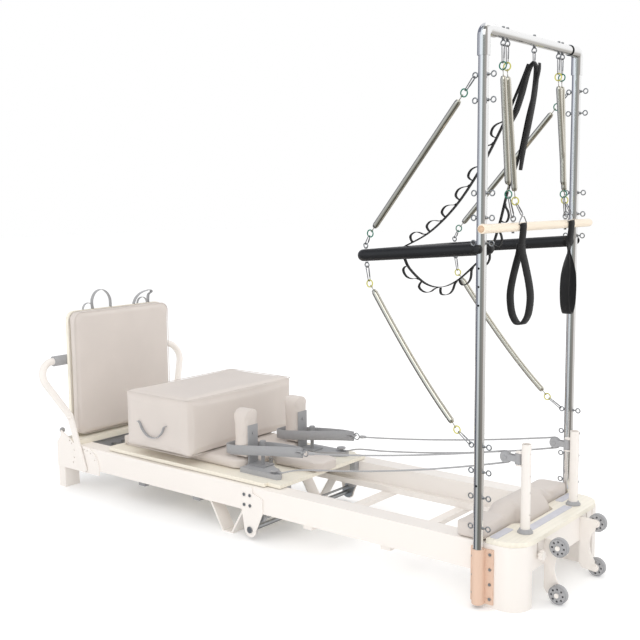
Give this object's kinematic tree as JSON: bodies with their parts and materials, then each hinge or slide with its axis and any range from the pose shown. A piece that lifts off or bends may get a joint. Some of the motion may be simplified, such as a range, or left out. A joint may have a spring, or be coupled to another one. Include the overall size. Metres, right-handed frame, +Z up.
{
  "type": "folding pilates reformer with half-trapeze tower",
  "caption": "Folding pilates reformer with sliding carriage, footbar, jump board, sitting box, shoulder rests, pull ropes and a steel tower with push-through bar, springs and roll-down bar.",
  "frame": {"origin": "middle of the plan, on the floor", "axes": "+X along the rails from the footbar end to the tower end, +Y across to the user's right when lying head to the tower, +Z up"},
  "size_m": [2.653, 0.93, 1.9955],
  "materials": {
    "frame_paint": "satin powder coat",
    "dark_paint": "satin powder coat",
    "clamp_paint": "satin powder coat",
    "pale_wood": "clear lacquer",
    "bar_wood": "clear lacquer",
    "vinyl": "soft matte vinyl",
    "grey_plastic": "matte",
    "black_plastic": "matte",
    "black_foam": "smooth cover",
    "grey_webbing": "woven",
    "black_webbing": "woven",
    "chrome": "polished",
    "steel": "zinc plated",
    "grey_rubber": "matte"
  },
  "bodies": {
    "foot_frame": {"foot_rails": "frame_paint", "foot_posts": "frame_paint", "foot_cross_members": "dark_paint", "footbar_plates": "frame_paint", "foot_platform": "pale_wood", "carriage_springs": "steel", "middle_legs": "frame_paint", "foot_hinge_plates": "frame_paint", "fold_axle": "steel"},
    "head_frame": {"head_rails": "frame_paint", "head_columns": "frame_paint", "head_hinge_plates": "steel", "fold_knobs": "black_plastic", "head_end_beam": "frame_paint", "standing_platform": "pale_wood", "grip_strips": "grey_rubber", "platform_cushion": "vinyl", "riser_collars": "grey_plastic", "tower_clamps": "clamp_paint", "clamp_bolts": "steel", "tower_posts": "chrome", "tower_elbows": "chrome", "tower_top_bar": "chrome", "left_eyebolts": "steel", "right_eyebolts": "steel", "transport_brackets": "frame_paint", "pull_ropes": "grey_webbing", "ptb_springs": "chrome", "centre_strap": "black_webbing"},
    "carriage": {"carriage_board": "pale_wood", "carriage_pad": "vinyl", "carriage_trucks": "dark_paint", "carriage_fittings": "grey_plastic", "hand_straps": "grey_webbing"},
    "headrest": {"headrest": "vinyl"},
    "left_shoulder_rest": {"left_shoulder_pad": "vinyl", "left_shoulder_plate": "dark_paint"},
    "right_shoulder_rest": {"right_shoulder_pad": "vinyl", "right_shoulder_plate": "dark_paint"},
    "footbar": {"footbar_tube": "frame_paint", "footbar_grip": "grey_rubber"},
    "jump_board": {"jump_board_panel": "pale_wood", "jump_board_pad": "vinyl"},
    "sitting_box": {"sitting_box": "vinyl"},
    "foot_wheels": {"foot_carriage_wheels": "grey_plastic"},
    "head_wheels": {"head_carriage_wheels": "grey_plastic"},
    "upper_transport": {"upper_transport_wheels": "grey_rubber"},
    "lower_transport": {"lower_transport_wheels": "grey_rubber"},
    "left_pulley": {"left_pulley_block": "grey_plastic"},
    "left_sheave_wheel": {"left_sheave": "grey_plastic"},
    "right_pulley": {"right_pulley_block": "grey_plastic"},
    "right_sheave_wheel": {"right_sheave": "grey_plastic"},
    "left_riser_post": {"left_riser": "frame_paint"},
    "right_riser_post": {"right_riser": "frame_paint"},
    "pull_pin": {"pull_knob": "black_plastic"},
    "push_bar": {"push_through_bar": "black_foam"},
    "roll_hangers": {"roll_springs": "chrome"},
    "roll_bar": {"roll_down_bar": "bar_wood", "hand_loops": "black_webbing"}
  },
  "joints": [
    {"name": "frame_fold", "type": "hinge", "parent": "foot_frame", "child": "head_frame", "pos_m": [-0.0155, 0, 0.045], "axis": [0, 1, 0], "range_deg": [0, 180]},
    {"name": "carriage_slide", "type": "slide", "parent": "foot_frame", "child": "carriage", "axis": [1, 0, 0], "range_m": [0, 0.75], "stiffness_N_per_m": 500, "springref_m": -0.05, "deforming": ["carriage_springs", "pull_ropes"]},
    {"name": "headrest_tilt", "type": "hinge", "parent": "carriage", "child": "headrest", "pos_m": [-0.1315, 0, 0.273], "axis": [0, -1, 0], "range_deg": [0, 25]},
    {"name": "left_rest_lift", "type": "slide", "parent": "carriage", "child": "left_shoulder_rest", "axis": [0, 0, 1], "range_m": [0, 0.05], "deforming": ["hand_straps"]},
    {"name": "right_rest_lift", "type": "slide", "parent": "carriage", "child": "right_shoulder_rest", "axis": [0, 0, 1], "range_m": [0, 0.05]},
    {"name": "foot_wheels_roll", "type": "hinge", "parent": "carriage", "child": "foot_wheels", "pos_m": [-0.8655, 0, 0.1753], "axis": [0, 1, 0], "range_deg": [0, 1720]},
    {"name": "head_wheels_roll", "type": "hinge", "parent": "carriage", "child": "head_wheels", "pos_m": [-0.0755, 0, 0.1753], "axis": [0, 1, 0], "range_deg": [0, 1720]},
    {"name": "upper_transport_roll", "type": "hinge", "parent": "head_frame", "child": "upper_transport", "pos_m": [1.2925, 0, 0.208], "axis": [0, 1, 0], "continuous": true},
    {"name": "lower_transport_roll", "type": "hinge", "parent": "head_frame", "child": "lower_transport", "pos_m": [1.2925, 0, 0.036], "axis": [0, 1, 0], "continuous": true},
    {"name": "left_riser_slide", "type": "slide", "parent": "head_frame", "child": "left_riser_post", "axis": [0, 0, 1], "range_m": [0, 0.04]},
    {"name": "right_riser_slide", "type": "slide", "parent": "head_frame", "child": "right_riser_post", "axis": [0, 0, 1], "range_m": [0, 0.04]},
    {"name": "left_pulley_swivel", "type": "hinge", "parent": "left_riser_post", "child": "left_pulley", "pos_m": [1.1465, -0.2, 0.511], "axis": [0, 0, 1], "range_deg": [-35, 35]},
    {"name": "right_pulley_swivel", "type": "hinge", "parent": "right_riser_post", "child": "right_pulley", "pos_m": [1.1465, 0.2, 0.48], "axis": [0, 0, 1], "range_deg": [-35, 35]},
    {"name": "left_sheave_spin", "type": "hinge", "parent": "left_pulley", "child": "left_sheave_wheel", "pos_m": [1.0985, -0.2, 0.511], "axis": [0, 1, 0], "continuous": true},
    {"name": "right_sheave_spin", "type": "hinge", "parent": "right_pulley", "child": "right_sheave_wheel", "pos_m": [1.0985, 0.2, 0.48], "axis": [0, 1, 0], "continuous": true},
    {"name": "pull_knob_slide", "type": "slide", "parent": "foot_frame", "child": "pull_pin", "axis": [0, 0, 1], "range_m": [0, 0.012], "stiffness_N_per_m": 300, "springref_m": -0.02},
    {"name": "push_bar_swing", "type": "hinge", "parent": "head_frame", "child": "push_bar", "pos_m": [1.0795, 0, 1.254], "axis": [0, 1, 0], "range_deg": [-60, 60], "stiffness_Nm_per_rad": 200, "deforming": ["ptb_springs", "centre_strap"]},
    {"name": "roll_bar_swing", "type": "hinge", "parent": "head_frame", "child": "roll_hangers", "pos_m": [1.0795, 0, 1.9405], "axis": [0, -1, 0], "range_deg": [0, 40]},
    {"name": "roll_bar_pull", "type": "slide", "parent": "roll_hangers", "child": "roll_bar", "axis": [0.8192, 0, -0.5736], "range_m": [0, 0.3], "stiffness_N_per_m": 300, "springref_m": -0.1, "deforming": ["roll_springs"]},
    {"name": "footbar_tilt", "type": "hinge", "parent": "foot_frame", "child": "footbar", "pos_m": [-1.1105, 0, 0.127], "axis": [0, -1, 0], "range_deg": [0, 60]},
    {"name": "jump_board_lift", "type": "slide", "parent": "foot_frame", "child": "jump_board", "axis": [0, 0, 1], "range_m": [0, 0.06]},
    {"name": "sitting_box_lift", "type": "slide", "parent": "carriage", "child": "sitting_box", "axis": [0, 0, 1], "range_m": [0, 0.3]}
  ],
  "couplings": [
    {"joint": "foot_wheels_roll", "follows": "carriage_slide", "rad_per_m": 40},
    {"joint": "head_wheels_roll", "follows": "carriage_slide", "rad_per_m": 40}
  ]
}
